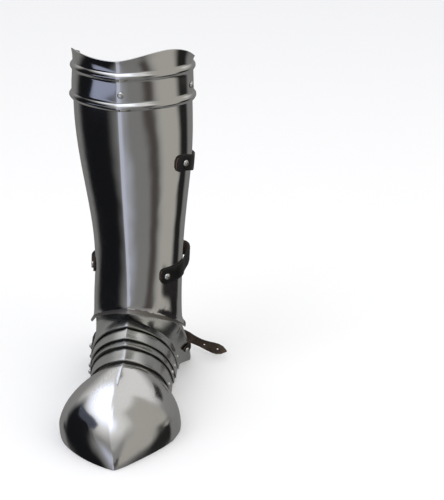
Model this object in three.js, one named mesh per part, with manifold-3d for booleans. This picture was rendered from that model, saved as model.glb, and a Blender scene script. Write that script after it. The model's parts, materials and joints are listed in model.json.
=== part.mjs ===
// A greave with its jointed sabaton: a half greave for the right leg over a foot defence of
// overlapping plates. Millimetres, +Z up, toes towards -Y, the inner side of the leg at +X.
import * as THREE from 'three';
import { mergeVertices } from 'three/addons/utils/BufferGeometryUtils.js';
import Module from 'manifold-3d';

const wasm = await Module();
wasm.setup();

// Driving dimensions of the leg
const GREAVE_TOP = 436;
const GREAVE_BOTTOM = 117;
const EDGE_ARCH = 42;
const CALF_HALF_WIDTH = 71;
const CALF_DEPTH = 70;
const CALF_REAR = 60;
const LEG_X = 13;
const KEEL_SHARE = 0.3;
const WRAP_DEG = 106;

// Driving dimensions of the foot
const TOE_LENGTH = 226;
const HEEL_LENGTH = 58;
const INSTEP_HEIGHT = 109;
const FOOT_HALF_WIDTH = 73;
const PIVOT_HEIGHT = 26;
const FOOT_KEEL_SHARE = 0.2;
const FOOT_FULLNESS = 2.5;

// Sheet, leather and fastenings
const PLATE = 1.5;
const SEAT = 0.35;
const LEATHER = 2.2;
const STRAP_WIDTH = 19.5;
const ANKLE_STRAP_WIDTH = 15;
const RIVET_RADIUS = 4;
const RIVET_RISE = 2.2;
const RIVET_EDGE = 0.4;
const STRAP_RIVET_RADIUS = 4;
const PIVOT_RIVET_RADIUS = 3.2;
const SIDE_GAP = 0.4;
const LAME_GAP = 2.4;
const FLOOR_GAP = 1.2;
const TUCK = 12;

// Bands and ribs at the top of the greave
const BAND_DROP = 59.5;
const SHIN_PLATE_DROP = 30;
const RIB_RISE = 2.9;
const RIB_WIDTH = 10;
const UPPER_RIB_DROP = 19;
const EDGE_FLARE = 5;
const EDGE_FLARE_LENGTH = 12;
const TOP_FLARE = 2.4;
const BAND_RIVET_RISE = 20;
const BAND_RIVETS = { centre: 2, left: -97, right: 82 };

// Straps and buckles
const BUCKLE_BAR = 1.6;
const BUCKLE_SLOT = 1;
const PRONG_RADIUS = 1.2;
const STRAP_CORNER = 0.6;

// Facets
const LEG_COLUMNS = 28;
const FOOT_COLUMNS = 26;
const ROUND = 10;
const RING_SIDES = 6;

const rad = THREE.MathUtils.degToRad;
const lerp = THREE.MathUtils.lerp;
const clamp = THREE.MathUtils.clamp;

const material = {
  steel: { color: 0xb9bcc2, roughness: 0.18, metalness: 1 },
  buckle: { color: 0x6d6a66, roughness: 0.35, metalness: 1 },
  leather: { color: 0x17130f, roughness: 0.6, metalness: 0 },
};

const model = new THREE.Group();

// Adds one named piece with a material of its own
function addPiece(name, geometry, finish) {
  const mesh = new THREE.Mesh(geometry, new THREE.MeshStandardMaterial(material[finish]));
  mesh.name = name;
  model.add(mesh);
  return mesh;
}

// Smooth value of one column of a table between its rows, which are sorted by the key
function sample(table, key, column, at) {
  const last = table.length - 1;
  let i = table.findIndex((row) => row[key] > at) - 1;
  if (i < 0) i = at <= table[0][key] ? 0 : last - 1;
  const a = table[Math.max(i - 1, 0)];
  const b = table[i];
  const c = table[i + 1];
  const d = table[Math.min(i + 2, last)];
  const t = clamp((at - b[key]) / (c[key] - b[key]), 0, 1);
  const span = c[key] - b[key];
  const slope = (p, q) => (p === q ? 0 : (q[column] - p[column]) / (q[key] - p[key]));
  const m0 = slope(a, c) * span;
  const m1 = slope(b, d) * span;
  const t2 = t * t;
  const t3 = t2 * t;
  return (2 * t3 - 3 * t2 + 1) * b[column] + (t3 - 2 * t2 + t) * m0
    + (3 * t2 - 2 * t3) * c[column] + (t3 - t2) * m1;
}

// Leg sections from the ankle up. height is a share of the way from the lower edge's middle to
// the top, the widths and depths are shares of the calf's, turn is in degrees, and side and back are
// shares of the calf's half width and depth
const LEG = [
  { height: -0.35, width: 0.82, depth: 0.78, turn: -5, side: -0.04, back: 0.02 },
  { height: 0.0, width: 0.80, depth: 0.76, turn: -7, side: -0.035, back: 0.01 },
  { height: 0.12, width: 0.79, depth: 0.745, turn: -9.5, side: 0, back: 0 },
  { height: 0.26, width: 0.81, depth: 0.755, turn: -11, side: 0.015, back: 0 },
  { height: 0.42, width: 0.892, depth: 0.80, turn: -11, side: 0.01, back: 0 },
  { height: 0.58, width: 0.985, depth: 0.87, turn: -9.8, side: 0, back: 0.01 },
  { height: 0.72, width: 1.022, depth: 0.935, turn: -8.2, side: -0.015, back: 0.02 },
  { height: 0.86, width: 1.015, depth: 0.975, turn: -8, side: -0.015, back: 0.01 },
  { height: 1.0, width: 0.98, depth: 1.0, turn: -8.5, side: 0.012, back: 0 },
];

// A point of the leg at an angle round it (0 on the ridge, + towards the inner side) and a
// height, moved out from the greave's outer face by out
function legPoint(angle, z, out = 0) {
  const height = (z - GREAVE_BOTTOM) / (GREAVE_TOP - GREAVE_BOTTOM);
  const value = (column) => sample(LEG, 'height', column, height);
  const halfWidth = CALF_HALF_WIDTH * value('width');
  const depth = CALF_DEPTH * value('depth');
  const rear = CALF_REAR * value('width');
  const plan = (degrees) => {
    const a = rad(degrees);
    const front = (1 - KEEL_SHARE) * Math.cos(a) + KEEL_SHARE * (1 - Math.abs(Math.sin(a)));
    const y = Math.cos(a) > 0 ? -depth * front : -rear * Math.cos(a);
    return new THREE.Vector2(halfWidth * Math.sin(a), y);
  };
  const along = plan(angle + 1).sub(plan(angle - 1)).normalize();
  const point = plan(angle).add(new THREE.Vector2(along.y, -along.x).multiplyScalar(out));
  point.rotateAround(new THREE.Vector2(0, 0), rad(value('turn')));
  point.x += LEG_X + CALF_HALF_WIDTH * value('side');
  return new THREE.Vector3(point.x, point.y + CALF_DEPTH * value('back'), z);
}

// The direction straight out of the leg at an angle and height
function legOut(angle, z) {
  const along = legPoint(angle + 2, z).sub(legPoint(angle - 2, z));
  const up = legPoint(angle, z + 4).sub(legPoint(angle, z - 4));
  return along.cross(up).normalize();
}

// Grid of points moved into the sheet by its thickness, flat where it stands on the floor
function inset(grid, thickness) {
  const lastRow = grid.length - 1;
  const lastColumn = grid[0].length - 1;
  return grid.map((row, r) => row.map((point, c) => {
    const along = grid[r][Math.min(c + 1, lastColumn)].clone().sub(grid[r][Math.max(c - 1, 0)]);
    const across = grid[Math.min(r + 1, lastRow)][c].clone().sub(grid[Math.max(r - 1, 0)][c]);
    const normal = along.cross(across);
    if (Math.abs(point.z) < 1e-6) normal.z = 0;
    return point.clone().addScaledVector(normal.normalize(), -thickness);
  }));
}

// Closed sheet between an outer and an inner grid. Columns run left to right, seen from
// outside, and rows upwards. A sheet that ends in a point has no front rim
function wall(outer, inner, frontRim = true) {
  const rows = outer.length;
  const columns = outer[0].length;
  const position = [outer, inner].flat(2).flatMap((p) => [p.x, p.y, p.z]);
  const at = (side, r, c) => (side * rows + r) * columns + c;
  const index = [];
  const quad = (a, b, c, d) => index.push(a, b, c, a, c, d);
  for (let r = 0; r < rows - 1; r += 1) {
    for (let c = 0; c < columns - 1; c += 1) {
      quad(at(0, r, c), at(0, r, c + 1), at(0, r + 1, c + 1), at(0, r + 1, c));
      quad(at(1, r, c), at(1, r + 1, c), at(1, r + 1, c + 1), at(1, r, c + 1));
    }
  }
  for (let c = 0; c < columns - 1; c += 1) {
    if (frontRim) quad(at(0, 0, c), at(1, 0, c), at(1, 0, c + 1), at(0, 0, c + 1));
    const top = rows - 1;
    quad(at(0, top, c), at(0, top, c + 1), at(1, top, c + 1), at(1, top, c));
  }
  for (let r = 0; r < rows - 1; r += 1) {
    const end = columns - 1;
    quad(at(0, r, 0), at(0, r + 1, 0), at(1, r + 1, 0), at(1, r, 0));
    quad(at(0, r, end), at(1, r, end), at(1, r + 1, end), at(0, r + 1, end));
  }
  const geometry = new THREE.BufferGeometry();
  geometry.setAttribute('position', new THREE.Float32BufferAttribute(position, 3));
  geometry.setIndex(index);
  return cleaned(geometry);
}

// The same geometry with its shared corners merged and its empty triangles dropped
function cleaned(geometry) {
  geometry.deleteAttribute('normal');
  geometry.deleteAttribute('uv');
  const merged = mergeVertices(geometry, 1e-4);
  const index = merged.index.array;
  const kept = [];
  for (let i = 0; i < index.length; i += 3) {
    const [a, b, c] = [index[i], index[i + 1], index[i + 2]];
    if (a !== b && b !== c && c !== a) kept.push(a, b, c);
  }
  merged.setIndex(kept);
  merged.computeVertexNormals();
  return merged;
}

function toSolid(geometry) {
  const clean = cleaned(geometry);
  return new wasm.Manifold(new wasm.Mesh({
    numProp: 3,
    vertProperties: new Float32Array(clean.attributes.position.array),
    triVerts: new Uint32Array(clean.index.array),
  }));
}

function toGeometry(solid) {
  const mesh = solid.getMesh();
  const geometry = new THREE.BufferGeometry();
  geometry.setAttribute('position', new THREE.BufferAttribute(mesh.vertProperties, 3));
  geometry.setIndex(Array.from(mesh.triVerts));
  return cleaned(geometry);
}

// Even values from a first to a last one
function steps(first, last, count) {
  return Array.from({ length: count + 1 }, (_, i) => lerp(first, last, i / count));
}

// How far the greave's lower edge hangs below its middle, round the leg
function edgeDrop(angle) {
  return EDGE_ARCH * (Math.min(Math.abs(angle), 90) / 90) ** 1.3;
}

// How far the rim rises over its middle, round the leg: lower at its rounded rear corners and
// highest on the inner side
const RIM = [
  { angle: -106, rise: -10 },
  { angle: -90, rise: -4 },
  { angle: -75, rise: 1 },
  { angle: -60, rise: 2.5 },
  { angle: -40, rise: 1.2 },
  { angle: -20, rise: -0.4 },
  { angle: 0, rise: 0 },
  { angle: 15, rise: 3.4 },
  { angle: 30, rise: 7.2 },
  { angle: 45, rise: 9.2 },
  { angle: 60, rise: 7 },
  { angle: 75, rise: 1.5 },
  { angle: 90, rise: -5.5 },
  { angle: 106, rise: -10.5 },
];

// Swell of a raised rib, at a distance from its middle line
function ribSwell(distance) {
  const share = Math.abs(distance) / (RIB_WIDTH / 2);
  return share < 1 ? RIB_RISE * Math.cos(share * Math.PI / 2) : 0;
}

// Outward curl of a plate's edge, at a distance from that edge
function curl(distance, rise, length) {
  return distance < length ? rise * (1 - distance / length) ** 2 : 0;
}

const LEG_ANGLES = steps(-WRAP_DEG, WRAP_DEG, LEG_COLUMNS);
const BAND_BOTTOM = GREAVE_TOP - BAND_DROP;
const SHIN_TOP = GREAVE_TOP - SHIN_PLATE_DROP;
const BAND_OUT = PLATE + SEAT;

// The long plate over the shin, with its lower edge curled out over the instep
function shinPlate() {
  const curlRows = [0, 0.25, 0.55, 1].map((share) => share * EDGE_FLARE_LENGTH);
  const upper = steps(0, 1, 11).slice(1);
  const row = (heightAt) => LEG_ANGLES.map((angle) => {
    const { z, out } = heightAt(angle);
    return legPoint(angle, z, out);
  });
  const rows = curlRows.map((distance) => row((angle) => ({
    z: GREAVE_BOTTOM - edgeDrop(angle) + distance,
    out: curl(distance, EDGE_FLARE, EDGE_FLARE_LENGTH),
  })));
  for (const share of upper) {
    rows.push(row((angle) => ({
      z: lerp(GREAVE_BOTTOM - edgeDrop(angle) + EDGE_FLARE_LENGTH, SHIN_TOP, share),
      out: 0,
    })));
  }
  return wall(rows, inset(rows, PLATE));
}

// The band riveted over the shin plate's top: a rolled lower edge, a raised rib and a flared rim
function topBand() {
  const lowRib = RIB_WIDTH / 2;
  const highRib = BAND_DROP - UPPER_RIB_DROP;
  const bead = [-0.5, -0.3, -0.1, 0.1, 0.3, 0.5].map((share) => share * RIB_WIDTH);
  const plain = highRib - lowRib - RIB_WIDTH;
  const heights = bead.map((offset) => lowRib + offset);
  heights.push(RIB_WIDTH + plain / 3, RIB_WIDTH + plain * 2 / 3);
  for (const offset of bead) heights.push(highRib + offset);
  const neck = highRib + RIB_WIDTH / 2;
  const rows = heights.map((height) => LEG_ANGLES.map((angle) => {
    const swell = ribSwell(height - lowRib) + ribSwell(height - highRib);
    return legPoint(angle, BAND_BOTTOM + height, BAND_OUT + swell);
  }));
  for (const share of [0.4, 0.75, 1]) {
    rows.push(LEG_ANGLES.map((angle) => {
      const height = lerp(neck, BAND_DROP + sample(RIM, 'angle', 'rise', angle), share);
      return legPoint(angle, BAND_BOTTOM + height, BAND_OUT + TOP_FLARE * share * share);
    }));
  }
  return wall(rows, inset(rows, PLATE));
}

// Domed rivet head that stands on a point, its axis along a direction
function rivet(point, direction, radius) {
  const dome = steps(0, 90, 3).map((angle) => new THREE.Vector2(
    radius * Math.cos(rad(angle)),
    lerp(RIVET_EDGE, RIVET_RISE, Math.sin(rad(angle))),
  ));
  dome[dome.length - 1].x = 0;
  const profile = [new THREE.Vector2(0, 0), new THREE.Vector2(radius, 0), ...dome];
  const geometry = new THREE.LatheGeometry(profile, ROUND);
  const turn = new THREE.Quaternion().setFromUnitVectors(new THREE.Vector3(0, 1, 0), direction);
  geometry.applyQuaternion(turn);
  geometry.translate(point.x, point.y, point.z);
  return cleaned(geometry);
}

function addRivet(name, point, direction, radius) {
  const seat = point.clone().addScaledVector(direction, SEAT);
  addPiece(name, rivet(seat, direction, radius), 'steel');
}

// Flat strap along a list of stations. Each gives the point at a share of the strap's width, -1
// to 1, and at a height above its inner face
function ribbon(stations, thickness) {
  const across = [-1, -0.33, 0.33, 1];
  const face = (height) => across.map((share) => stations.map((at) => at(share, height)));
  return wall(face(thickness), face(0));
}

// Half width of a strap whose end has rounded corners, at a distance from that end
function roundEnd(half, distance) {
  const corner = half * STRAP_CORNER;
  if (distance >= corner) return half;
  return half - corner + Math.sqrt(corner * corner - (corner - distance) ** 2);
}

addPiece('shin_plate', shinPlate(), 'steel');
addPiece('top_band', topBand(), 'steel');

const BAND_RIVET_Z = BAND_BOTTOM + BAND_RIVET_RISE;
for (const [side, angle] of Object.entries(BAND_RIVETS)) {
  const direction = legOut(angle, BAND_RIVET_Z);
  const point = legPoint(angle, BAND_RIVET_Z, BAND_OUT);
  addRivet(`band_rivet_${side}`, point, direction, RIVET_RADIUS);
}

// Calf straps: from a rivet on the inner side, round the open back, to a buckle on the outer
// side. drop is below the greave's top, start and rivet are angles on the inner side, pinBar is the
// buckle's angle, edgeRise is how far the strap rises to the plate's inner rear edge, and bow and
// rise are how far it stands off and up behind that edge
const CALF_STRAPS = {
  upper: { drop: 132, start: -305.5, rivet: -292, pinBar: -126, edgeRise: -9, bow: 5, rise: -11 },
  lower: { drop: 277, start: -320, rivet: -311, pinBar: -105, edgeRise: 2, bow: 12, rise: 9 },
};

// Degrees from the buckle's pin bar to its far bar, the strap's tail end and the tab's end
const TO_FAR_BAR = -17;
const TO_TAIL_END = 19;
const TO_TAB_RIVET = 26.5;
const TO_TAB_END = 34;
const PIN_BAR_LIFT = LEATHER + BUCKLE_BAR;
const OVER_PIN_BAR = PIN_BAR_LIFT + BUCKLE_BAR + SEAT;
const UNDER_FAR_BAR = 2 * SEAT;
const FAR_BAR_LIFT = UNDER_FAR_BAR + LEATHER + BUCKLE_BAR + 2 * SEAT;

// Lift of a strap's inner face over the plate, the buckle's bars and its tab, and its rise
function strapCourse({ start, rivet, pinBar, edgeRise, bow, rise }) {
  return [
    { angle: start, lift: SEAT, rise: 0 },
    { angle: rivet, lift: SEAT, rise: 0 },
    { angle: WRAP_DEG - 368, lift: SEAT, rise: 0.8 * edgeRise },
    { angle: WRAP_DEG - 364, lift: SEAT, rise: edgeRise },
    { angle: -236, lift: SEAT + bow, rise },
    { angle: -215, lift: SEAT + bow, rise },
    { angle: -180, lift: SEAT, rise: 0.3 * rise },
    { angle: pinBar + TO_FAR_BAR - 8, lift: SEAT, rise: 0 },
    { angle: pinBar + TO_FAR_BAR, lift: UNDER_FAR_BAR, rise: 0 },
    { angle: pinBar - 2, lift: OVER_PIN_BAR, rise: 0 },
    { angle: pinBar + 2, lift: OVER_PIN_BAR, rise: 0 },
    { angle: pinBar + TO_TAIL_END, lift: LEATHER + 3 * SEAT, rise: 0 },
  ];
}

function legStation(angle, z, lift, half) {
  return (share, height) => legPoint(angle, z + share * half, lift + height);
}

// Length along the leg of one degree
function degreeLength(angle, z) {
  return legPoint(angle, z).distanceTo(legPoint(angle + 1, z));
}

function calfStrap(z, strap) {
  const half = STRAP_WIDTH / 2;
  const course = strapCourse(strap);
  const farBar = strap.pinBar + TO_FAR_BAR;
  const tailEnd = strap.pinBar + TO_TAIL_END;
  const angles = [0, 2, 5, 8].map((back) => strap.start + back);
  angles.push(...steps(strap.start + 12, farBar - 10, 26));
  angles.push(...steps(farBar - 8, strap.pinBar + 4, 9));
  angles.push(...[14, 10, 6, 3, 0].map((back) => tailEnd - back));
  const stations = angles.map((angle) => {
    const toTail = (tailEnd - angle) * degreeLength(angle, z);
    const toStart = (angle - strap.start) * degreeLength(angle, z);
    const lift = sample(course, 'angle', 'lift', angle);
    const rise = sample(course, 'angle', 'rise', angle);
    return legStation(angle, z + rise, lift, roundEnd(half, Math.min(toTail, toStart)));
  });
  return ribbon(stations, LEATHER);
}

function buckleTab(z, pinBar) {
  const half = STRAP_WIDTH / 2;
  const gap = (BUCKLE_BAR + SEAT) / degreeLength(pinBar, z);
  const tabEnd = pinBar + TO_TAB_END;
  const stations = steps(pinBar + gap, tabEnd, 9).map((angle) => {
    const toEnd = (tabEnd - angle) * degreeLength(angle, z);
    return legStation(angle, z, SEAT, roundEnd(half, toEnd));
  });
  return ribbon(stations, LEATHER);
}

// Round bar along a list of points, or a closed ring of it
function bar(points, radius, closed) {
  const path = new THREE.CatmullRomCurve3(points, closed, 'catmullrom', 0.2);
  const section = new THREE.Shape();
  section.absarc(0, 0, radius, 0, Math.PI * 2, false);
  return new THREE.ExtrudeGeometry(section, {
    steps: closed ? points.length * 4 : 3,
    curveSegments: 4,
    bevelEnabled: false,
    extrudePath: path,
  });
}

function buckleFrame(z, pinBar) {
  const rise = STRAP_WIDTH / 2 + BUCKLE_SLOT + BUCKLE_BAR;
  const farBar = pinBar + TO_FAR_BAR;
  const middle = (pinBar + farBar) / 2;
  const middleLift = (PIN_BAR_LIFT + FAR_BAR_LIFT) / 2;
  const corners = [];
  for (const share of [-1, 0, 1]) corners.push(legPoint(pinBar, z + share * rise, PIN_BAR_LIFT));
  corners.push(legPoint(middle, z + rise, middleLift));
  for (const share of [1, 0, -1]) corners.push(legPoint(farBar, z + share * rise, FAR_BAR_LIFT));
  corners.push(legPoint(middle, z - rise, middleLift));
  return ring(corners, BUCKLE_BAR);
}

// A closed ring swept round a loop of corners, each with the bar's round section
function ring(corners, radius) {
  const path = new THREE.CatmullRomCurve3(corners, true, 'catmullrom', 0.2);
  const count = corners.length * 3;
  const middle = corners.reduce((sum, p) => sum.add(p), new THREE.Vector3())
    .divideScalar(corners.length);
  const position = [];
  const index = [];
  for (let i = 0; i < count; i += 1) {
    const at = path.getPoint(i / count);
    const along = path.getTangent(i / count);
    const outward = at.clone().sub(middle);
    outward.addScaledVector(along, -outward.dot(along)).normalize();
    const side = along.clone().cross(outward);
    for (let k = 0; k < RING_SIDES; k += 1) {
      const a = (k / RING_SIDES) * Math.PI * 2;
      const p = at.clone().addScaledVector(outward, radius * Math.cos(a))
        .addScaledVector(side, radius * Math.sin(a));
      position.push(p.x, p.y, p.z);
      const next = (k + 1) % RING_SIDES;
      const ahead = (i + 1) % count;
      const [p0, p1] = [i * RING_SIDES + k, i * RING_SIDES + next];
      const [q0, q1] = [ahead * RING_SIDES + k, ahead * RING_SIDES + next];
      index.push(p0, p1, q1, p0, q1, q0);
    }
  }
  const geometry = new THREE.BufferGeometry();
  geometry.setAttribute('position', new THREE.Float32BufferAttribute(position, 3));
  geometry.setIndex(index);
  return cleaned(geometry);
}

function prongPoints(z, pinBar) {
  const clearOfBar = BUCKLE_BAR + PRONG_RADIUS + 3 * SEAT;
  const near = legPoint(pinBar - clearOfBar / degreeLength(pinBar, z), z, PIN_BAR_LIFT + 1);
  const far = legPoint(pinBar + TO_FAR_BAR - 1, z, FAR_BAR_LIFT + clearOfBar);
  return [near, far];
}

for (const [place, strap] of Object.entries(CALF_STRAPS)) {
  const z = GREAVE_TOP - strap.drop;
  const prong = prongPoints(z, strap.pinBar);
  const slot = toSolid(bar(prong, PRONG_RADIUS + 2 * SEAT, false));
  addPiece(`${place}_strap`, toGeometry(toSolid(calfStrap(z, strap)).subtract(slot)), 'leather');
  addPiece(`${place}_buckle_tab`, buckleTab(z, strap.pinBar), 'leather');
  addPiece(`${place}_buckle_frame`, buckleFrame(z, strap.pinBar), 'buckle');
  addPiece(`${place}_buckle_pin`, cleaned(bar(prong, PRONG_RADIUS, false)), 'buckle');
  const strapHead = legPoint(strap.rivet, z, SEAT + LEATHER);
  addRivet(`${place}_strap_rivet`, strapHead, legOut(strap.rivet, z), STRAP_RIVET_RADIUS);
  const tabRivet = strap.pinBar + TO_TAB_RIVET;
  const tabHead = legPoint(tabRivet, z, SEAT + LEATHER);
  addRivet(`${place}_tab_rivet`, tabHead, legOut(tabRivet, z), STRAP_RIVET_RADIUS);
}

// Foot sections from the ankle plate's front edge to the toe. base and top are shares of the
// toe's length, where the arch stands and where its ridge is, rise is a share of the instep's
// height, width and shift are shares of the foot's half width
const FOOT = [
  { station: -1, base: -0.205, top: 0.249, rise: 1.10, width: 0.79, shift: 0.045 },
  { station: 0, base: -0.084, top: 0.325, rise: 1.0, width: 0.79, shift: 0.045 },
  { station: 1, base: 0.040, top: 0.392, rise: 0.92, width: 0.77, shift: 0.045 },
  { station: 2, base: 0.102, top: 0.440, rise: 0.882, width: 0.75, shift: 0.045 },
  { station: 3, base: 0.247, top: 0.5415, rise: 0.811, width: 0.73, shift: 0.045 },
  { station: 4, base: 0.402, top: 0.63, rise: 0.765, width: 0.91, shift: 0.01 },
  { station: 5, base: 0.575, top: 0.726, rise: 0.705, width: 1.01, shift: -0.02 },
  { station: 6, base: 0.715, top: 0.812, rise: 0.615, width: 0.915, shift: -0.04 },
  { station: 7, base: 0.815, top: 0.884, rise: 0.505, width: 0.70, shift: -0.065 },
  { station: 8, base: 0.915, top: 0.945, rise: 0.35, width: 0.39, shift: -0.06 },
  { station: 9, base: 0.975, top: 0.985, rise: 0.185, width: 0.15, shift: -0.02 },
  { station: 10, base: 1.0, top: 1.0, rise: 0.07, width: 0, shift: 0 },
];

// A point of the foot's outer form at a station and an angle round the arch, 0 on its ridge.
// drop lowers the ridge and narrow brings the sides in
function footPoint(station, angle, { drop = 0, narrow = 0, floor = 0, back = 0 } = {}) {
  const value = (column) => sample(FOOT, 'station', column, station);
  const a = rad(angle);
  const sine = Math.sign(a) * Math.abs(Math.sin(a)) ** (2 / FOOT_FULLNESS);
  const round = Math.abs(Math.cos(a)) ** (2 / FOOT_FULLNESS);
  const share = Math.abs(angle) >= 90 ? 0
    : (1 - FOOT_KEEL_SHARE) * round + FOOT_KEEL_SHARE * (1 - Math.abs(sine));
  const halfWidth = Math.max(FOOT_HALF_WIDTH * value('width') - narrow, 0);
  const rise = Math.max(INSTEP_HEIGHT * value('rise') - drop, floor);
  const base = -TOE_LENGTH * value('base');
  const top = -TOE_LENGTH * value('top');
  return new THREE.Vector3(
    halfWidth * sine + FOOT_HALF_WIDTH * value('shift'),
    lerp(base, top, share) + back,
    floor + (rise - floor) * share,
  );
}

const FOOT_ANGLES = steps(-90, 90, FOOT_COLUMNS);
const NEST = PLATE + SIDE_GAP;
const STEP_DOWN = PLATE + LAME_GAP;

// A narrow arched plate. It shows from its front edge back to the edge of the plate that covers
// it, and runs on under that plate, rising with it by the tilt
function lame(order, frontStation, tilt) {
  const cover = frontStation - 1;
  const rows = [
    { station: frontStation, drop: 0, back: 0 },
    { station: frontStation - 0.45, drop: STEP_DOWN * 0.5, back: 0 },
    { station: cover, drop: STEP_DOWN, back: 0 },
    { station: cover, drop: STEP_DOWN - TUCK * tilt, back: TUCK },
  ];
  const sideStep = (station) => FOOT_HALF_WIDTH * (sample(FOOT, 'station', 'width', station)
    - sample(FOOT, 'station', 'width', 0)) + NEST * order;
  const grid = rows.map((row) => FOOT_ANGLES.map((angle) => footPoint(row.station, angle, {
    drop: row.drop, narrow: sideStep(row.station), floor: FLOOR_GAP, back: row.back,
  })));
  return wall(grid, inset(grid, PLATE));
}

const lame1 = addPiece('lame_1', lame(1, 1, 0.03), 'steel');
const lame2 = addPiece('lame_2', lame(2, 2, 0.2), 'steel');
const vamp = addPiece('vamp', lame(3, 3, -0.05), 'steel');

// The toe cap: tucked under the vamp, swelling to the broad toe and closing in a point
function toeCap() {
  const stations = [10, 9.6, 9.2, 8.7, 8, 7.4, 6.7, 6, 5.3, 4.7, 4.1, 3.6, 3.25];
  const tucked = { station: 3, drop: STEP_DOWN, back: 0 };
  const rows = stations.map((station) => ({ station, drop: 0, back: 0 }));
  rows[rows.length - 1].drop = STEP_DOWN * 0.6;
  rows.push(tucked, { ...tucked, drop: STEP_DOWN - TUCK * 0.05, back: TUCK });
  const narrow = (station) => {
    const share = clamp((4.2 - station) / 1, 0, 1);
    return share * (FOOT_HALF_WIDTH * (sample(FOOT, 'station', 'width', 3)
      - sample(FOOT, 'station', 'width', 0)) + NEST * 4);
  };
  const grid = (inward) => rows.map((row) => FOOT_ANGLES.map((angle) => {
    const forward = clamp((row.station - 5) / 5, 0, 1);
    return footPoint(row.station, angle, {
      drop: row.drop + inward,
      narrow: narrow(row.station) + inward,
      back: row.back + inward * (0.5 + 1.2 * forward),
    });
  }));
  const outer = grid(0);
  const inner = grid(PLATE);
  return wall(outer, inner, false);
}

addPiece('toe_cap', toeCap(), 'steel');

// The ankle plate: its front edge is an arch over the instep, its collar stands inside the
// greave, and its wings run back and down to the floor, open at the heel
const COLLAR_SHARE = 0.62;
const COLLAR_WRAP = 100;
const COLLAR_LAP = 26;
const COLLAR_END_LAP = 3;
const FRONT_SHARE = 0.2;
const KNEE_SHARE = 0.85;
const BEND_SHARE = 0.35;
const WING_HALF_WIDTH = 67;
const WING_SIDE = 8;
const WING_SWELL = 2;
const WING_SPREAD = { outer: 1.25, inner: 0.8 };
const WING_BAND = 12;

// Point on the collar's upper or lower line, which both run on down the wing's rear edge
function collarPoint(share, upper) {
  const side = Math.sign(share) || 1;
  const reach = Math.abs(share);
  const lineAt = (turned) => {
    const lap = lerp(COLLAR_LAP, COLLAR_END_LAP, (turned / COLLAR_WRAP) ** 2);
    const z = GREAVE_BOTTOM - edgeDrop(turned) + (upper ? lap : -SEAT * 6);
    return legPoint(side * turned, z, -PLATE - SEAT);
  };
  if (reach <= COLLAR_SHARE) return lineAt(COLLAR_WRAP * (reach / COLLAR_SHARE));
  const down = (reach - COLLAR_SHARE) / (1 - COLLAR_SHARE);
  const start = lineAt(COLLAR_WRAP);
  const heel = HEEL_LENGTH - (upper ? 0 : WING_BAND);
  const spread = side > 0 ? WING_SPREAD.inner : WING_SPREAD.outer;
  return new THREE.Vector3(
    lerp(start.x, side * WING_HALF_WIDTH + WING_SIDE, down ** spread)
      + side * WING_SWELL * Math.sin(down * Math.PI),
    lerp(start.y, heel, down ** 1.2),
    lerp(start.z, 0, down),
  );
}

// Outer face of the ankle plate at a share round it and a share from front edge to collar
function anklePoint(share, v) {
  const edge = footPoint(0, share * 90);
  const start = footPoint(0, share * 90, { drop: -PLATE / 2, back: TUCK + PLATE });
  if (v < FRONT_SHARE) return edge.lerp(start, v / FRONT_SHARE);
  const knee = collarPoint(share, false);
  if (v > KNEE_SHARE) {
    return knee.lerp(collarPoint(share, true), (v - KNEE_SHARE) / (1 - KNEE_SHARE));
  }
  const reach = BEND_SHARE * start.distanceTo(knee);
  const back = start.clone().setY(start.y + reach);
  back.x = lerp(start.x, knee.x, BEND_SHARE);
  const down = knee.clone().setZ(Math.max(knee.z - reach, lerp(knee.z, start.z, 0.5)));
  const curve = new THREE.CubicBezierCurve3(start, back, down, knee);
  return curve.getPoint((v - FRONT_SHARE) / (KNEE_SHARE - FRONT_SHARE));
}

function anklePlate() {
  const shares = steps(-1, 1, FOOT_COLUMNS);
  const along = [0, FRONT_SHARE / 2, ...steps(FRONT_SHARE, KNEE_SHARE, 6), 1];
  const rows = along.map((v) => shares.map((share) => anklePoint(share, v)));
  return wall(rows, inset(rows, PLATE));
}

const anklePlateMesh = addPiece('ankle_plate', anklePlate(), 'steel');

// Pivot rivets near the floor on both sides, each behind the front edge of the plate it is in
const pivots = [
  { name: 'ankle', plate: anklePlateMesh, station: 0, behindEdge: 7.5 },
  { name: 'lame_1', plate: lame1, station: 1, behindEdge: 8 },
  { name: 'lame_2', plate: lame2, station: 2, behindEdge: 4.7 },
  { name: 'vamp', plate: vamp, station: 3, behindEdge: 4.7 },
];
for (const { name, plate, station, behindEdge } of pivots) {
  const share = PIVOT_HEIGHT / footPoint(station, 0).z;
  const edge = lerp(footPoint(station, 90).y, footPoint(station, 0).y, share);
  for (const [side, sign] of [['inner', 1], ['outer', -1]]) {
    const start = new THREE.Vector3(sign * 2 * FOOT_HALF_WIDTH, edge + behindEdge, PIVOT_HEIGHT);
    const inwards = new THREE.Vector3(-sign, 0, 0);
    const [hit] = new THREE.Raycaster(start, inwards).intersectObject(plate);
    addRivet(`${name}_pivot_${side}`, hit.point, hit.face.normal, PIVOT_RIVET_RADIUS);
  }
}

// The direction straight out of the ankle plate, and a point lifted off it
function ankleOut(share, v) {
  const along = anklePoint(share + 0.02, v).sub(anklePoint(share - 0.02, v));
  const back = anklePoint(share, v + 0.02).sub(anklePoint(share, v - 0.02));
  return along.cross(back).normalize();
}

function overAnkle(share, v, lift) {
  return anklePoint(share, v).addScaledVector(ankleOut(share, v), lift);
}

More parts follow.
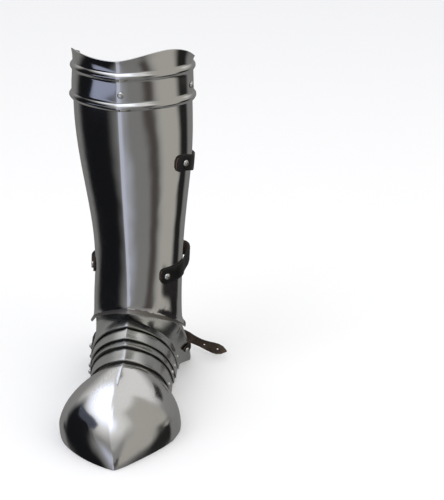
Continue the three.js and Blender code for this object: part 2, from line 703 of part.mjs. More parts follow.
// The ankle strap comes off the outer wing, runs round behind the heel and ends free on the
// inner side. Past the wing its route is a list of places: side and back are shares of the
// wings' half width and of the heel's length, and rise is a share of the strap's width
const ANKLE_LINE = 0.84;
const ANKLE_RIVET = 0.58;
const WING_SEATS = [0.45, 0.52, 0.6, 0.7, 0.8, 0.88, 0.95, 1];
const STRAP_ROUTE = [
  { side: -0.70, back: 1.38, rise: 1.45 },
  { side: -0.42, back: 1.66, rise: 1.35 },
  { side: 0.10, back: 1.78, rise: 1.27 },
  { side: 0.60, back: 1.69, rise: 1.27 },
  { side: 0.95, back: 1.43, rise: 1.27 },
  { side: 1.18, back: 1.18, rise: 1.20 },
  { side: 1.40, back: 1.035, rise: 1.0 },
  { side: 1.62, back: 0.95, rise: 0.8 },
  { side: 1.86, back: 0.955, rise: 0.5 },
];

// Width of the strap's leaf-shaped free end, at a distance from its tip
const LEAF = [
  { distance: 0, width: 0.06 },
  { distance: 2, width: 0.36 },
  { distance: 6, width: 0.72 },
  { distance: 12, width: 1.02 },
  { distance: 19, width: 1.06 },
  { distance: 30, width: 0.9 },
  { distance: 42, width: 0.8 },
  { distance: 60, width: 1 },
];

// Station of a strap that lies on a wing: side is -1 on the outer wing and 1 on the inner one
function wingStation(side, v, half, lift) {
  const line = side * ANKLE_LINE;
  const unit = anklePoint(line + 0.02, v).distanceTo(anklePoint(line - 0.02, v)) / 0.04;
  return (share, height) => overAnkle(line - side * share * (half / unit), v, lift + height);
}

function ankleStrap() {
  const half = ANKLE_STRAP_WIDTH / 2;
  const ends = [0.45, 0.8, 1, 1];
  const seats = WING_SEATS.map((v, i) => wingStation(-1, v, half * (ends[i] ?? 1), 2 * SEAT));
  const route = STRAP_ROUTE.map(({ side, back, rise }) => new THREE.Vector3(
    side * WING_HALF_WIDTH,
    back * HEEL_LENGTH,
    rise * ANKLE_STRAP_WIDTH,
  ));
  const lastSeat = overAnkle(-ANKLE_LINE, 1, 2 * SEAT);
  const path = new THREE.CatmullRomCurve3([lastSeat, ...route], false, 'centripetal');
  const length = path.getLength();
  const free = steps(0, 1, 36).slice(2).map((t) => {
    const place = path.getPointAt(t);
    const along = path.getTangentAt(t);
    const up = new THREE.Vector3(0, 0, 1).addScaledVector(along, -along.z).normalize();
    const out = up.clone().cross(along);
    const width = half * sample(LEAF, 'distance', 'width', (1 - t) * length);
    return (share, height) => place.clone().addScaledVector(up, share * width)
      .addScaledVector(out, height);
  });
  return ribbon([...seats, ...free].reverse(), LEATHER);
}

addPiece('ankle_strap', ankleStrap(), 'leather');
const strapSeat = overAnkle(-ANKLE_LINE, ANKLE_RIVET, 2 * SEAT + LEATHER);
const strapOut = ankleOut(-ANKLE_LINE, ANKLE_RIVET);
addRivet('ankle_strap_rivet', strapSeat, strapOut, PIVOT_RIVET_RADIUS);

// A short tab is riveted on the inner wing, in front of where the strap comes past it
function ankleTab() {
  const half = ANKLE_STRAP_WIDTH / 2 - 1;
  const ends = [0.45, 0.8, 1];
  const seats = WING_SEATS.map((v, i) => wingStation(1, v, half * (ends[i] ?? 1), 2 * SEAT));
  return ribbon(seats, LEATHER);
}

addPiece('ankle_tab', ankleTab(), 'leather');
const tabSeat = overAnkle(ANKLE_LINE, ANKLE_RIVET, 2 * SEAT + LEATHER);
addRivet('ankle_tab_rivet', tabSeat, ankleOut(ANKLE_LINE, ANKLE_RIVET), PIVOT_RIVET_RADIUS);

// Everything stands centred on the origin of the part
const bounds = new THREE.Box3().setFromObject(model);
const centre = bounds.getCenter(new THREE.Vector3());
model.position.set(-centre.x, -centre.y, -bounds.min.z);

const part = new THREE.Group();
part.add(model);

export default part;
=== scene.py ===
# %% [markdown]
# # A greave and its sabaton
# A half greave for the right leg stands over a foot defence of overlapping plates, all in hand
# polished steel. The CAD part is loaded first. It sets the size, the place and the name of every
# piece, so that whatever is modelled here goes where its name says.

# %% Load the part
import json
import math
import bpy
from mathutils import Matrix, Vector


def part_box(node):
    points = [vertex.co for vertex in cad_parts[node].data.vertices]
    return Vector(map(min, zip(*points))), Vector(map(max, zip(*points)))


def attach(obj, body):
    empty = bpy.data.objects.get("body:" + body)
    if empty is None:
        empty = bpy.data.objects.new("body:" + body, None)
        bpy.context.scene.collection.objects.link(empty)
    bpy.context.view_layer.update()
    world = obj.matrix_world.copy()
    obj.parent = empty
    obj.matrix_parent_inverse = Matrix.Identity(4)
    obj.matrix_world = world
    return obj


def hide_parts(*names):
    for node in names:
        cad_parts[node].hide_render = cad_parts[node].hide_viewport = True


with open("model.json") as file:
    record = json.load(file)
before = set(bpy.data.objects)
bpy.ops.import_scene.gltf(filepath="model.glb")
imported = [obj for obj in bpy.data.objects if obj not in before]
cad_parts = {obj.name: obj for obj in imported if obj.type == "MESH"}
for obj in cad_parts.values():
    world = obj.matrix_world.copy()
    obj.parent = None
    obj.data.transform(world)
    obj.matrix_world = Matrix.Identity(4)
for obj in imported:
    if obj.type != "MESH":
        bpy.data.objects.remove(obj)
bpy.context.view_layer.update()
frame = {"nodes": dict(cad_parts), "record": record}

# %% [markdown]
# ## Camera
# The photograph looks down on the armour from in front, with a long lens. The camera's place is
# kept as a distance from the foot of the shin plate, because the origin of the part follows its
# whole box, which a longer strap would move.

# %% Camera
SHIN_TO_CAMERA = Vector((0.1323, -1.2960, 0.717))
LENS_MM = 81.07
SENSOR_MM = 36
PITCH_DOWN = 22.2
HEADING = 1.1

shin_low, shin_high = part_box("shin_plate")
shin_foot = Vector(((shin_low.x + shin_high.x) / 2, (shin_low.y + shin_high.y) / 2, 0))
bpy.ops.object.camera_add(
    location=shin_foot + SHIN_TO_CAMERA,
    rotation=(math.radians(90 - PITCH_DOWN), 0, math.radians(HEADING)),
)
camera = bpy.context.object
camera.data.sensor_width = SENSOR_MM
camera.data.lens = LENS_MM
bpy.context.scene.camera = camera
print("camera at", tuple(round(v, 4) for v in camera.location))

# %% [markdown]
# ## Node helpers
# Every finish below is a small tree of shader nodes, and a few helpers keep those trees short to
# read. One starts a material, one places a node with its settings and values, and the others
# each add one kind of node and join it to what feeds it.

# %% Node helpers
def new_material(name):
    material = bpy.data.materials.new(name)
    material.use_nodes = True
    return material, material.node_tree, material.node_tree.nodes["Principled BSDF"]


def place_node(tree, kind, settings=None, values=None):
    node = tree.nodes.new(kind)
    for name, value in (settings or {}).items():
        setattr(node, name, value)
    for name, value in (values or {}).items():
        node.inputs[name].default_value = value
    return node


def maths(tree, operation, first, second=None, third=None):
    node = place_node(tree, "ShaderNodeMath", {"operation": operation})
    for socket, value in zip(node.inputs, (first, second, third)):
        if hasattr(value, "links"):
            tree.links.new(value, socket)
        elif value is not None:
            socket.default_value = value
    return node.outputs[0]


def span(tree, value, low, high, to_low=0.0, to_high=1.0, smooth=True):
    node = place_node(tree, "ShaderNodeMapRange", {
        "interpolation_type": "SMOOTHSTEP" if smooth else "LINEAR",
    }, {"From Min": low, "From Max": high, "To Min": to_low, "To Max": to_high})
    tree.links.new(value, node.inputs["Value"])
    return node.outputs["Result"]


def mix_colour(tree, factor, first, second, blend="MIX"):
    node = place_node(tree, "ShaderNodeMix", {"data_type": "RGBA", "blend_type": blend})
    sockets = [node.inputs["Factor"]]
    sockets += [socket for socket in node.inputs if socket.type == "RGBA"]
    for socket, value in zip(sockets, (factor, first, second)):
        if hasattr(value, "links"):
            tree.links.new(value, socket)
        else:
            socket.default_value = value
    return next(socket for socket in node.outputs if socket.type == "RGBA")


def ramp(tree, value, stops):
    node = place_node(tree, "ShaderNodeValToRGB")
    elements = node.color_ramp.elements
    while len(elements) > 1:
        elements.remove(elements[-1])
    elements[0].position = stops[0][0]
    elements[0].color = (*stops[0][1], 1)
    for position, colour in stops[1:]:
        elements.new(position).color = (*colour, 1)
    tree.links.new(value, node.inputs["Fac"])
    return node.outputs["Color"]

# %% [markdown]
# ## The room round the armour
# Polished steel has hardly any colour of its own: it shows the room. So the world is painted as
# a plain studio seen by direction. It goes from a grey floor to a pale ceiling, and a few soft
# edged panels hang in it: black flags that make the steel dark at the sides, a white card and a
# softbox that make it shine, and a warm wall on the right. Their places and greys are round
# values, chosen to give the same broad light and dark areas as the photo. The camera itself
# sees plain pale paper behind the armour, and matt things get an even light.

# %% The room
CAMERA_SIDE = 5.7
STEEL_SHARE = 0.80
NEUTRAL = (1.0, 0.99, 0.97)
COOL = (0.92, 0.96, 1.12)
BLUE = (0.84, 0.92, 1.24)
WARM = (1.04, 1.0, 0.91)
BROWN = (1.12, 0.99, 0.90)
MATT_LIGHT = (0.94, 0.94, 0.94, 1)
PAPER = (0.865, 0.872, 0.886, 1)

# Grey from the floor at -90 degrees to the ceiling at 90
FLOOR_TO_CEILING = [(-90, 0.40), (-20, 0.45), (15, 0.50), (35, 0.80), (90, 0.80)]

# Degrees to the left and right of the camera, degrees of height, softness, brightness and tint
PANELS = {
    "white_card": ((-55, 5), (-50, 5), 10, 0.70, COOL),
    "black_flag_left": ((-125, -70), (-60, 35), 9, 0.08, COOL),
    "softbox": ((-140, 25), (42, 75), 9, 1.10, COOL),
    "warm_wall": ((45, 105), (-35, 60), 7, 0.60, WARM),
    "black_strip": ((30, 41), (-35, -8), 4, 0.25, BROWN),
    "black_flag_right": ((80, 110), (-60, -8), 7, 0.12, NEUTRAL),
}


# Light that shows as a given brightness, 0 to 1 as the eye sees it, in a steel mirror
def lit(seen, tint):
    value = ((seen + 0.055) / 1.055) ** 2.4 if seen > 0.04 else seen / 12.92
    return tuple(value * share / STEEL_SHARE for share in tint)


# 1 between two limits and 0 outside, going over softly
def between(tree, value, limits, soft):
    first, last = limits
    return maths(tree, "MULTIPLY", span(tree, value, first - soft, first + soft),
                 span(tree, value, last + soft, last - soft))


world = bpy.data.worlds.new("studio")
world.use_nodes = True
bpy.context.scene.world = world
room = world.node_tree
room.nodes.clear()

direction = place_node(room, "ShaderNodeTexCoord").outputs["Generated"]
parts = place_node(room, "ShaderNodeSeparateXYZ")
room.links.new(direction, parts.inputs[0])
towards_camera = maths(room, "MULTIPLY", parts.outputs["Y"], -1.0)
azimuth = maths(room, "ARCTAN2", parts.outputs["X"], towards_camera)
degrees = maths(room, "SUBTRACT", maths(room, "DEGREES", azimuth), CAMERA_SIDE)
height = maths(room, "DEGREES", maths(room, "ARCSINE", parts.outputs["Z"]))

pattern = ramp(room, span(room, height, -90.0, 90.0, smooth=False),
               [((level + 90) / 180, lit(seen, NEUTRAL)) for level, seen in FLOOR_TO_CEILING])
for sides, heights, soft, seen, tint in PANELS.values():
    cover = maths(room, "MULTIPLY", between(room, degrees, sides, soft),
                  between(room, height, heights, soft))
    pattern = mix_colour(room, cover, pattern, (*lit(seen, tint), 1))

rays = place_node(room, "ShaderNodeLightPath")
pattern = mix_colour(room, rays.outputs["Is Diffuse Ray"], pattern, MATT_LIGHT)
pattern = mix_colour(room, rays.outputs["Is Camera Ray"], pattern, PAPER)
walls = place_node(room, "ShaderNodeBackground", None, {"Strength": 1.0})
room.links.new(pattern, walls.inputs["Color"])
room_out = place_node(room, "ShaderNodeOutputWorld")
room.links.new(walls.outputs[0], room_out.inputs["Surface"])
bpy.context.scene.view_settings.view_transform = "Standard"
print("room painted with the panels", list(PANELS))

# %% [markdown]
# ## Floor and lamps
# A wide pale floor carries the soft shadow of the armour. It is left out of reflections, where
# the painted room already holds a floor. One large soft lamp stands high on each side.

# %% Floor and lamps
FLOOR_SIDE = 80.0
FLOOR_DROP = 0.0005
LAMP_AIM = (0, 0, 0.2)
LAMP_SIDE = 1.8

bpy.ops.mesh.primitive_plane_add(size=FLOOR_SIDE, location=(0, 0, -FLOOR_DROP))
floor = bpy.context.object
floor.name = "floor"
floor.visible_glossy = False

floor_paint, floor_tree, floor_shader = new_material("floor_paint")
floor_shader.inputs["Base Color"].default_value = (0.94, 0.94, 0.94, 1)
floor_shader.inputs["Roughness"].default_value = 0.9
floor.data.materials.append(floor_paint)


def soft_lamp(name, place, watts, colour):
    bpy.ops.object.light_add(type="AREA", location=place)
    lamp = bpy.context.object
    lamp.name = name
    lamp.data.shape = "RECTANGLE"
    lamp.data.size = lamp.data.size_y = LAMP_SIDE
    lamp.data.energy = watts
    lamp.data.color = colour
    lamp.rotation_euler = (Vector(LAMP_AIM) - Vector(place)).to_track_quat("-Z", "Y").to_euler()
    lamp.visible_glossy = False
    print("lamp", name, "at", place)


soft_lamp("lamp_left", (-1.6, -1.4, 1.9), 16, (0.97, 0.98, 1.0))
soft_lamp("lamp_right", (1.8, -1.0, 1.6), 12, (1.0, 0.98, 0.95))

# %% [markdown]
# ## Boards
# Three boards are close by, out of the picture and out of the shadows. A low dark one on the
# right is near enough for the lower shin alone to mirror it, as a dark patch. A pale blue sheet
# lies flat on the left over a dim one, where only the band at the top looks down on it. Every
# board fades out towards its edges, because a hard edge would come back sharp in the steel.

# %% Boards
EDGE_FADE = 0.75


# 1 in the middle of a board and 0 at its edges, along its two wide sides
def fade_to_edges(tree, size):
    across = place_node(tree, "ShaderNodeSeparateXYZ")
    tree.links.new(place_node(tree, "ShaderNodeTexCoord").outputs["Generated"], across.inputs[0])
    cover = 1.0
    for length, share in zip(size, across.outputs):
        if length > min(size):
            hump = maths(tree, "MULTIPLY", share, maths(tree, "SUBTRACT", 1.0, share))
            cover = maths(tree, "MULTIPLY", span(tree, hump, 0.0, 0.25 * EDGE_FADE), cover)
    return cover


def board(name, place, size, turn, colour):
    bpy.ops.mesh.primitive_cube_add(size=1, location=place)
    piece = bpy.context.object
    piece.name = name
    piece.scale = size
    piece.rotation_euler.z = math.radians(turn)
    bpy.ops.object.transform_apply(location=False, rotation=True, scale=True)
    piece.visible_camera = False
    piece.visible_diffuse = False
    piece.visible_shadow = False
    paint, tree, shader = new_material(name + "_paint")
    shader.inputs["Base Color"].default_value = (0.004, 0.004, 0.005, 1)
    shader.inputs["Roughness"].default_value = 1.0
    shader.inputs["Emission Color"].default_value = (*colour, 1)
    shader.inputs["Emission Strength"].default_value = 1.0
    tree.links.new(fade_to_edges(tree, size), shader.inputs["Alpha"])
    piece.data.materials.append(paint)
    print("board", name, "at", place)


board("low_dark_board", (0.115, 0.030, 0.099), (0.006, 0.14, 0.052), 0, lit(0.10, BROWN))
board("blue_sheet", (-0.500, -0.178, 0.274), (0.29, 0.40, 0.002), 22, lit(0.56, BLUE))
board("sheet_underside", (-0.500, -0.178, 0.270), (0.30, 0.41, 0.002), 22, lit(0.26, BLUE))

# %% [markdown]
# ## Shared surface effects
# Two effects come back in every steel, so each is a node group of its own, built once. Hammer
# marks are shallow, wide hollows that make a reflection waver. Polishing lines are fine and long.

# %% Shared surface effects
def new_group(name, inputs, outputs):
    group = bpy.data.node_groups.new(name, "ShaderNodeTree")
    for label, kind, value in inputs:
        socket = group.interface.new_socket(label, in_out="INPUT", socket_type=kind)
        socket.default_value = value
    for label, kind in outputs:
        group.interface.new_socket(label, in_out="OUTPUT", socket_type=kind)
    return group, group.nodes.new("NodeGroupInput"), group.nodes.new("NodeGroupOutput")


VECTOR, NUMBER = "NodeSocketVector", "NodeSocketFloat"

hammer_marks, marks_in, marks_out = new_group(
    "hammer_marks",
    [("Place", VECTOR, (0, 0, 0)), ("Marks per Metre", NUMBER, 30.0)],
    [("Height", NUMBER)],
)
wide = place_node(hammer_marks, "ShaderNodeTexNoise", None, {"Detail": 1.0, "Roughness": 0.4})
dents = place_node(hammer_marks, "ShaderNodeTexVoronoi", {"feature": "SMOOTH_F1"}, {
    "Smoothness": 1.0, "Randomness": 1.0,
})
hammer_marks.links.new(marks_in.outputs["Place"], wide.inputs["Vector"])
hammer_marks.links.new(marks_in.outputs["Place"], dents.inputs["Vector"])
hammer_marks.links.new(marks_in.outputs["Marks per Metre"], wide.inputs["Scale"])
dent_scale = maths(hammer_marks, "MULTIPLY", marks_in.outputs["Marks per Metre"], 1.7)
hammer_marks.links.new(dent_scale, dents.inputs["Scale"])
hammer_height = maths(hammer_marks, "MULTIPLY_ADD", dents.outputs["Distance"], 0.25,
                      wide.outputs["Fac"])
hammer_marks.links.new(hammer_height, marks_out.inputs["Height"])

polish_lines, lines_in, lines_out = new_group(
    "polish_lines",
    [("Place", VECTOR, (0, 0, 0)), ("Lines per Metre", NUMBER, 900.0)],
    [("Height", NUMBER), ("Mask", NUMBER)],
)
fine = place_node(polish_lines, "ShaderNodeTexNoise", None, {"Detail": 3.0, "Roughness": 0.6})
clouds = place_node(polish_lines, "ShaderNodeTexNoise", None, {"Detail": 2.0, "Scale": 9.0})
polish_lines.links.new(lines_in.outputs["Place"], fine.inputs["Vector"])
polish_lines.links.new(lines_in.outputs["Lines per Metre"], fine.inputs["Scale"])
polish_lines.links.new(lines_in.outputs["Place"], clouds.inputs["Vector"])
polish_lines.links.new(fine.outputs["Fac"], lines_out.inputs["Height"])
line_mask = maths(polish_lines, "MULTIPLY", span(polish_lines, clouds.outputs["Fac"], 0.4, 0.62),
                  span(polish_lines, fine.outputs["Fac"], 0.35, 0.65))
polish_lines.links.new(line_mask, lines_out.inputs["Mask"])
print("groups:", [group.name for group in bpy.data.node_groups])

# %% [markdown]
# ## Polished steel
# The real sheet is buffed steel. It keeps a trace of every hammer blow, so a straight edge in
# the room comes back as a gently wavering one, and a haze of polishing lines softens it here
# and there. The lines follow the plate: up the leg, and along the foot. The narrow plates over
# the instep are handled and scuffed more, so they are softer. The faces inside the armour were
# never buffed: they carry a number, inside, that turns them dull and dark.

# %% Polished steel
STEEL = (0.78, 0.78, 0.78)
SCUFFED_STEEL = (0.72, 0.73, 0.72)
RIVET_STEEL = (0.82, 0.82, 0.80)
DULL_STEEL = (0.30, 0.29, 0.28)
UNPOLISHED = (0.23, 0.215, 0.20, 1)
INSIDE_HAZE = 0.28
LINE_SHADE = 0.86
SCRATCH_DEPTH = 0.00002


def use_group(tree, group, values):
    node = place_node(tree, "ShaderNodeGroup", {"node_tree": group})
    for name, value in values.items():
        if hasattr(value, "links"):
            tree.links.new(value, node.inputs[name])
        else:
            node.inputs[name].default_value = value
    return node


def stretched_place(tree, stretch):
    place = place_node(tree, "ShaderNodeTexCoord").outputs["Object"]
    mapping = place_node(tree, "ShaderNodeMapping", None, {"Scale": stretch})
    tree.links.new(place, mapping.inputs["Vector"])
    return place, mapping.outputs["Vector"]


def steel(name, stretch, tint, marks, depth, gloss):
    material, tree, shader = new_material(name)
    place, along = stretched_place(tree, stretch)
    dents = use_group(tree, hammer_marks, {"Place": place, "Marks per Metre": marks})
    lines = use_group(tree, polish_lines, {"Place": along})
    inside = place_node(tree, "ShaderNodeAttribute", {"attribute_name": "inside"}).outputs["Fac"]
    haze = span(tree, lines.outputs["Mask"], 0.0, 1.0, gloss[0], gloss[1])
    haze = maths(tree, "MULTIPLY_ADD", inside, INSIDE_HAZE, haze)
    tree.links.new(haze, shader.inputs["Roughness"])
    dulled = tuple(LINE_SHADE * value for value in tint)
    colour = mix_colour(tree, lines.outputs["Mask"], (*tint, 1), (*dulled, 1))
    colour = mix_colour(tree, inside, colour, UNPOLISHED)
    tree.links.new(colour, shader.inputs["Base Color"])
    shader.inputs["Metallic"].default_value = 1.0
    broad = place_node(tree, "ShaderNodeBump", None, {"Strength": 1.0, "Distance": depth})
    tree.links.new(dents.outputs["Height"], broad.inputs["Height"])
    scratch = place_node(tree, "ShaderNodeBump", None, {
        "Strength": 0.06, "Distance": SCRATCH_DEPTH,
    })
    tree.links.new(lines.outputs["Height"], scratch.inputs["Height"])
    tree.links.new(broad.outputs["Normal"], scratch.inputs["Normal"])
    tree.links.new(scratch.outputs["Normal"], shader.inputs["Normal"])
    return material


leg_steel = steel("leg_steel", (1, 1, 0.04), STEEL, 22.0, 0.0008, (0.10, 0.24))
foot_steel = steel("foot_steel", (1, 0.08, 1), STEEL, 28.0, 0.0008, (0.12, 0.26))
lame_steel = steel("lame_steel", (1, 0.08, 1), SCUFFED_STEEL, 30.0, 0.0006, (0.20, 0.26))
rivet_steel = steel("rivet_steel", (1, 1, 1), RIVET_STEEL, 90.0, 0.0001, (0.14, 0.3))
buckle_steel = steel("buckle_steel", (1, 1, 1), DULL_STEEL, 120.0, 0.0001, (0.3, 0.5))
print("steels:", [m.name for m in (leg_steel, foot_steel, lame_steel, rivet_steel,
                                  buckle_steel)])

# %% [markdown]
# ## Black leather
# The straps are black on the grain side, a little grey where they are handled, and bare brown
# on the flesh side. Every strap's faces carry a number, flesh, that says which side they are on.

# %% Black leather
PEBBLES_PER_METRE = 850.0
FIBRES_PER_METRE = 700.0
BLOTCHES_PER_METRE = 55.0
DYED_BLACK = (0.003, 0.003, 0.003, 1)
HANDLED_BLACK = (0.011, 0.010, 0.010, 1)
DARK_HIDE = (0.030, 0.019, 0.013, 1)
PALE_HIDE = (0.085, 0.057, 0.040, 1)
LOOSE_FIBRES = (0.150, 0.110, 0.080, 1)


def leather(name):
    material, tree, shader = new_material(name)
    place = place_node(tree, "ShaderNodeTexCoord").outputs["Object"]
    flesh = place_node(tree, "ShaderNodeAttribute", {"attribute_name": "flesh"}).outputs["Fac"]
    pebbles = place_node(tree, "ShaderNodeTexVoronoi", {"feature": "SMOOTH_F1"}, {
        "Scale": PEBBLES_PER_METRE, "Smoothness": 0.7,
    })
    tree.links.new(place, pebbles.inputs["Vector"])
    fibres = place_node(tree, "ShaderNodeTexNoise", None, {
        "Scale": FIBRES_PER_METRE, "Detail": 5.0, "Roughness": 0.7,
    })
    tree.links.new(place, fibres.inputs["Vector"])
    blotch = place_node(tree, "ShaderNodeTexNoise", None, {
        "Scale": BLOTCHES_PER_METRE, "Detail": 4.0,
    })
    tree.links.new(place, blotch.inputs["Vector"])
    grain_side = mix_colour(tree, span(tree, blotch.outputs["Fac"], 0.35, 0.7),
                            DYED_BLACK, HANDLED_BLACK)
    hide = mix_colour(tree, span(tree, blotch.outputs["Fac"], 0.3, 0.72),
                      DARK_HIDE, PALE_HIDE)
    hide = mix_colour(tree, span(tree, fibres.outputs["Fac"], 0.5, 0.8, 0.0, 0.5), hide,
                      LOOSE_FIBRES)
    tree.links.new(mix_colour(tree, flesh, grain_side, hide), shader.inputs["Base Color"])
    rough = maths(tree, "MULTIPLY_ADD", flesh, 0.35,
                  span(tree, blotch.outputs["Fac"], 0.3, 0.7, 0.38, 0.55))
    tree.links.new(rough, shader.inputs["Roughness"])
    shader.inputs["Specular IOR Level"].default_value = 0.3
    surface = maths(tree, "ADD", maths(tree, "MULTIPLY", pebbles.outputs["Distance"], 0.6),
                    maths(tree, "MULTIPLY", fibres.outputs["Fac"], flesh))
    bump = place_node(tree, "ShaderNodeBump", None, {"Strength": 0.6, "Distance": 0.0003})
    tree.links.new(surface, bump.inputs["Height"])
    tree.links.new(bump.outputs["Normal"], shader.inputs["Normal"])
    return material


black_leather = leather("black_leather")
print("leather:", black_leather.name)

# %% [markdown]
# ## Smooth plates
# The part's own plates are faceted, which a mirror finish would show at once. Each plate is
# made new from the part's corner points: the doubled corners are merged, pairs of triangles
# become the squares that a subdivision needs, the cut rims get a small round, the ridge down
# the front keeps a crease, and subdivision makes the faces flow.

# %% Smooth plates
RIM_ANGLE = math.radians(50)
RIDGE_ANGLE = math.radians(17)
RIM_ROUND = 0.0004
RIDGE_CREASE = 0.5
FLOW_LEVELS = 2
WELD = 0.00001
TO_CENTRE = -0.15


def make_active(piece):
    bpy.ops.object.select_all(action="DESELECT")
    piece.select_set(True)
    bpy.context.view_layer.objects.active = piece


def copy_of_node(node, name):
    mesh = frame["nodes"][node].data.copy()
    mesh.materials.clear()
    piece = bpy.data.objects.new(name, mesh)
    bpy.context.scene.collection.objects.link(piece)
    make_active(piece)
    bpy.ops.object.mode_set(mode="EDIT")
    bpy.ops.mesh.select_all(action="SELECT")
    bpy.ops.mesh.remove_doubles(threshold=WELD)
    bpy.ops.mesh.tris_convert_to_quads(
        face_threshold=math.radians(40), shape_threshold=math.radians(60))
    bpy.ops.object.mode_set(mode="OBJECT")
    return piece


def apply_subdivision(piece):
    modifier = piece.modifiers.new("flow", "SUBSURF")
    modifier.levels = FLOW_LEVELS
    modifier.render_levels = FLOW_LEVELS
    make_active(piece)
    bpy.ops.object.modifier_apply(modifier=modifier.name)
    bpy.ops.object.shade_smooth()


def smooth_plate(node, name):
    piece = copy_of_node(node, name)
    make_active(piece)
    bpy.ops.object.mode_set(mode="EDIT")
    bpy.ops.mesh.select_mode(type="EDGE")
    bpy.ops.mesh.select_all(action="DESELECT")
    bpy.ops.mesh.edges_select_sharp(sharpness=RIM_ANGLE)
    bpy.ops.mesh.bevel(offset=RIM_ROUND, segments=2, affect="EDGES", clamp_overlap=True)
    bpy.ops.mesh.select_all(action="DESELECT")
    bpy.ops.mesh.edges_select_sharp(sharpness=RIDGE_ANGLE)
    bpy.ops.transform.edge_crease(value=RIDGE_CREASE)
    bpy.ops.object.mode_set(mode="OBJECT")
    apply_subdivision(piece)
    print(name, "has", len(piece.data.polygons), "faces")
    return piece


def finish_piece(piece, node, material):
    piece.data.materials.clear()
    piece.data.materials.append(material)
    body = next(b for b, names in frame["record"]["behaviour"]["bodies"].items()
                if node in names)
    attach(piece, body)
    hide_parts(node)


# Faces turned to the centre of the piece carry a 1, all the others a 0
def mark_inner_faces(piece, label, centre):
    values = piece.data.attributes.new(label, "FLOAT", "FACE").data
    for value, face in zip(values, piece.data.polygons):
        outwards = face.normal.dot((face.center - centre).normalized())
        value.value = 1.0 if outwards < TO_CENTRE else 0.0


# Each plate's steel, and the height of the middle that its inner faces look at
PLATES = {
    "shin_plate": (leg_steel, 0.24),
    "top_band": (leg_steel, 0.41),
    "ankle_plate": (lame_steel, 0.02),
    "lame_1": (lame_steel, 0.0),
    "lame_2": (lame_steel, 0.0),
    "vamp": (lame_steel, 0.0),
    "toe_cap": (foot_steel, 0.0),
}
for node, (material, middle_height) in PLATES.items():
    plate = smooth_plate(node, node + "_smooth")
    low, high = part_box(node)
    centre = Vector(((low.x + high.x) / 2, (low.y + high.y) / 2, middle_height))
    mark_inner_faces(plate, "inside", centre)
    finish_piece(plate, node, material)

# %% [markdown]
# ## Straps
# Each strap is made new from the part's points too. Its cut edges are rounded over a little, and
# the long faces are shaded smooth. The free end of the ankle strap gets two buckle holes.

# %% Straps
STRAP_ROUND = 0.0004
STRAP_ANGLE = math.radians(35)
HOLE_RADIUS = 0.0014
HOLES_FROM_TIP = (0.016, 0.031)
PUNCH_LENGTH = 0.02
NEAR = 0.003
TAIL_REACH = 0.06


def nodes_with(slot_name):
    return [entry["node"] for entry in frame["record"]["subparts"]
            if entry["material_slot"] == slot_name]


def smooth_strap(node, centre):
    piece = copy_of_node(node, node + "_smooth")
    bpy.ops.object.mode_set(mode="EDIT")
    bpy.ops.mesh.select_mode(type="EDGE")
    bpy.ops.mesh.select_all(action="DESELECT")
    bpy.ops.mesh.edges_select_sharp(sharpness=RIM_ANGLE)
    bpy.ops.mesh.bevel(offset=STRAP_ROUND, segments=2, affect="EDGES", clamp_overlap=True)
    bpy.ops.object.mode_set(mode="OBJECT")
    bpy.ops.object.shade_smooth_by_angle(angle=STRAP_ANGLE)
    mark_inner_faces(piece, "flesh", centre)
    finish_piece(piece, node, black_leather)
    return piece


def punch_hole(piece, place, direction):
    bpy.ops.mesh.primitive_cylinder_add(
        vertices=20, radius=HOLE_RADIUS, depth=PUNCH_LENGTH, location=place,
        rotation=direction.to_track_quat("Z", "Y").to_euler())
    punch = bpy.context.object
    make_active(piece)
    cut = piece.modifiers.new("hole", "BOOLEAN")
    cut.operation = "DIFFERENCE"
    cut.object = punch
    bpy.ops.object.modifier_apply(modifier=cut.name)
    bpy.data.objects.remove(punch)


# Mean place of the points that lie a given way back from a strap's tip
def along_strap(piece, tip, distance):
    near = [v.co for v in piece.data.vertices
            if abs((v.co - tip).length - distance) < NEAR and v.co.x > tip.x - TAIL_REACH]
    return sum(near, Vector()) / len(near)


leg_low, leg_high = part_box("top_band")
leg_axis = (leg_low + leg_high) / 2
foot_low, foot_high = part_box("vamp")
foot_middle = (foot_low + foot_high) / 2
straps = {}
for node in nodes_with("black_leather"):
    low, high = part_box(node)
    centre = foot_middle if node.startswith("ankle") else leg_axis
    straps[node] = smooth_strap(node, Vector((centre.x, centre.y, (low.z + high.z) / 2)))

ankle_strap = straps["ankle_strap"]
tip = max((v.co for v in ankle_strap.data.vertices), key=lambda place: place.x).copy()
for distance in HOLES_FROM_TIP:
    place = along_strap(ankle_strap, tip, distance)
    run = tip - place
    punch_hole(ankle_strap, place, run.cross(Vector((0, 0, 1))))
print("straps:", {name: len(piece.data.polygons) for name, piece in straps.items()})

# %% [markdown]
# ## Rivets
# A rivet shows only its domed head. One head is modelled, as a ball cut flat across its middle.
# Every rivet gets a copy of it, at the size of the part's own rivet and laid on its flat base.

# %% Rivets
FLAT = 0.999

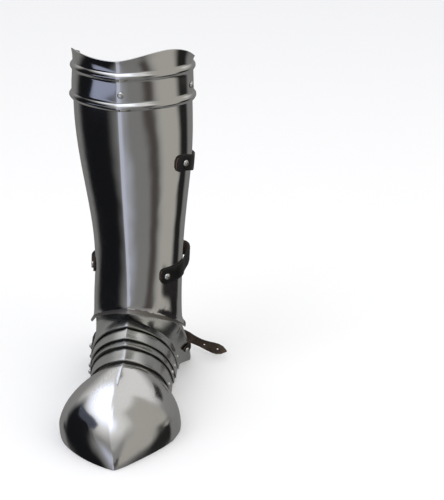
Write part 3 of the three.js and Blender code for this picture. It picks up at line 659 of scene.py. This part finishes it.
bpy.ops.mesh.primitive_uv_sphere_add(segments=28, ring_count=16, radius=1.0)
plain_head = bpy.context.object
bpy.ops.object.mode_set(mode="EDIT")
bpy.ops.mesh.select_all(action="SELECT")
bpy.ops.mesh.bisect(plane_co=(0, 0, 0), plane_no=(0, 0, 1), clear_inner=True, use_fill=True)
bpy.ops.object.mode_set(mode="OBJECT")
bpy.ops.object.shade_smooth_by_angle(angle=RIM_ANGLE)


# Middle of a part rivet's flat base, the way it points, its radius and its rise
def rivet_base(node):
    mesh = frame["nodes"][node].data
    down = max(mesh.polygons, key=lambda face: face.area).normal.copy()
    flat = [face for face in mesh.polygons if face.normal.dot(down) > FLAT]
    corners = {index for face in flat for index in face.vertices}
    places = [mesh.vertices[index].co for index in corners]
    middle = (Vector(map(max, zip(*places))) + Vector(map(min, zip(*places)))) / 2
    radius = max((place - middle).length for place in places)
    rise = max((vertex.co - middle).dot(-down) for vertex in mesh.vertices)
    return middle, -down, radius, rise


rivet_nodes = nodes_with("rivet_steel")
for node in rivet_nodes:
    middle, axis, radius, rise = rivet_base(node)
    head = bpy.data.objects.new(node + "_head", plain_head.data.copy())
    bpy.context.scene.collection.objects.link(head)
    head.location = middle
    head.rotation_euler = axis.to_track_quat("Z", "Y").to_euler()
    head.scale = (radius, radius, rise)
    make_active(head)
    bpy.ops.object.transform_apply(location=True, rotation=True, scale=True)
    finish_piece(head, node, rivet_steel)
bpy.data.objects.remove(plain_head)
print(len(rivet_nodes), "rivets, each with", len(head.data.polygons), "faces")

# %% [markdown]
# ## Buckles
# The frames and prongs are round bars. Subdivision makes the frames smooth, and they are swelled
# a little first, because it also thins them.

# %% Buckles
BAR_SWELL = 0.00028

buckle_nodes = nodes_with("buckle_steel")
for node in buckle_nodes:
    bar = copy_of_node(node, node + "_smooth")
    if node.endswith("pin"):
        bpy.ops.object.shade_smooth_by_angle(angle=RIM_ANGLE)
    else:
        bpy.ops.object.mode_set(mode="EDIT")
        bpy.ops.mesh.select_all(action="SELECT")
        bpy.ops.transform.shrink_fatten(value=BAR_SWELL)
        bpy.ops.object.mode_set(mode="OBJECT")
        apply_subdivision(bar)
    finish_piece(bar, node, buckle_steel)
print("buckles:", buckle_nodes)
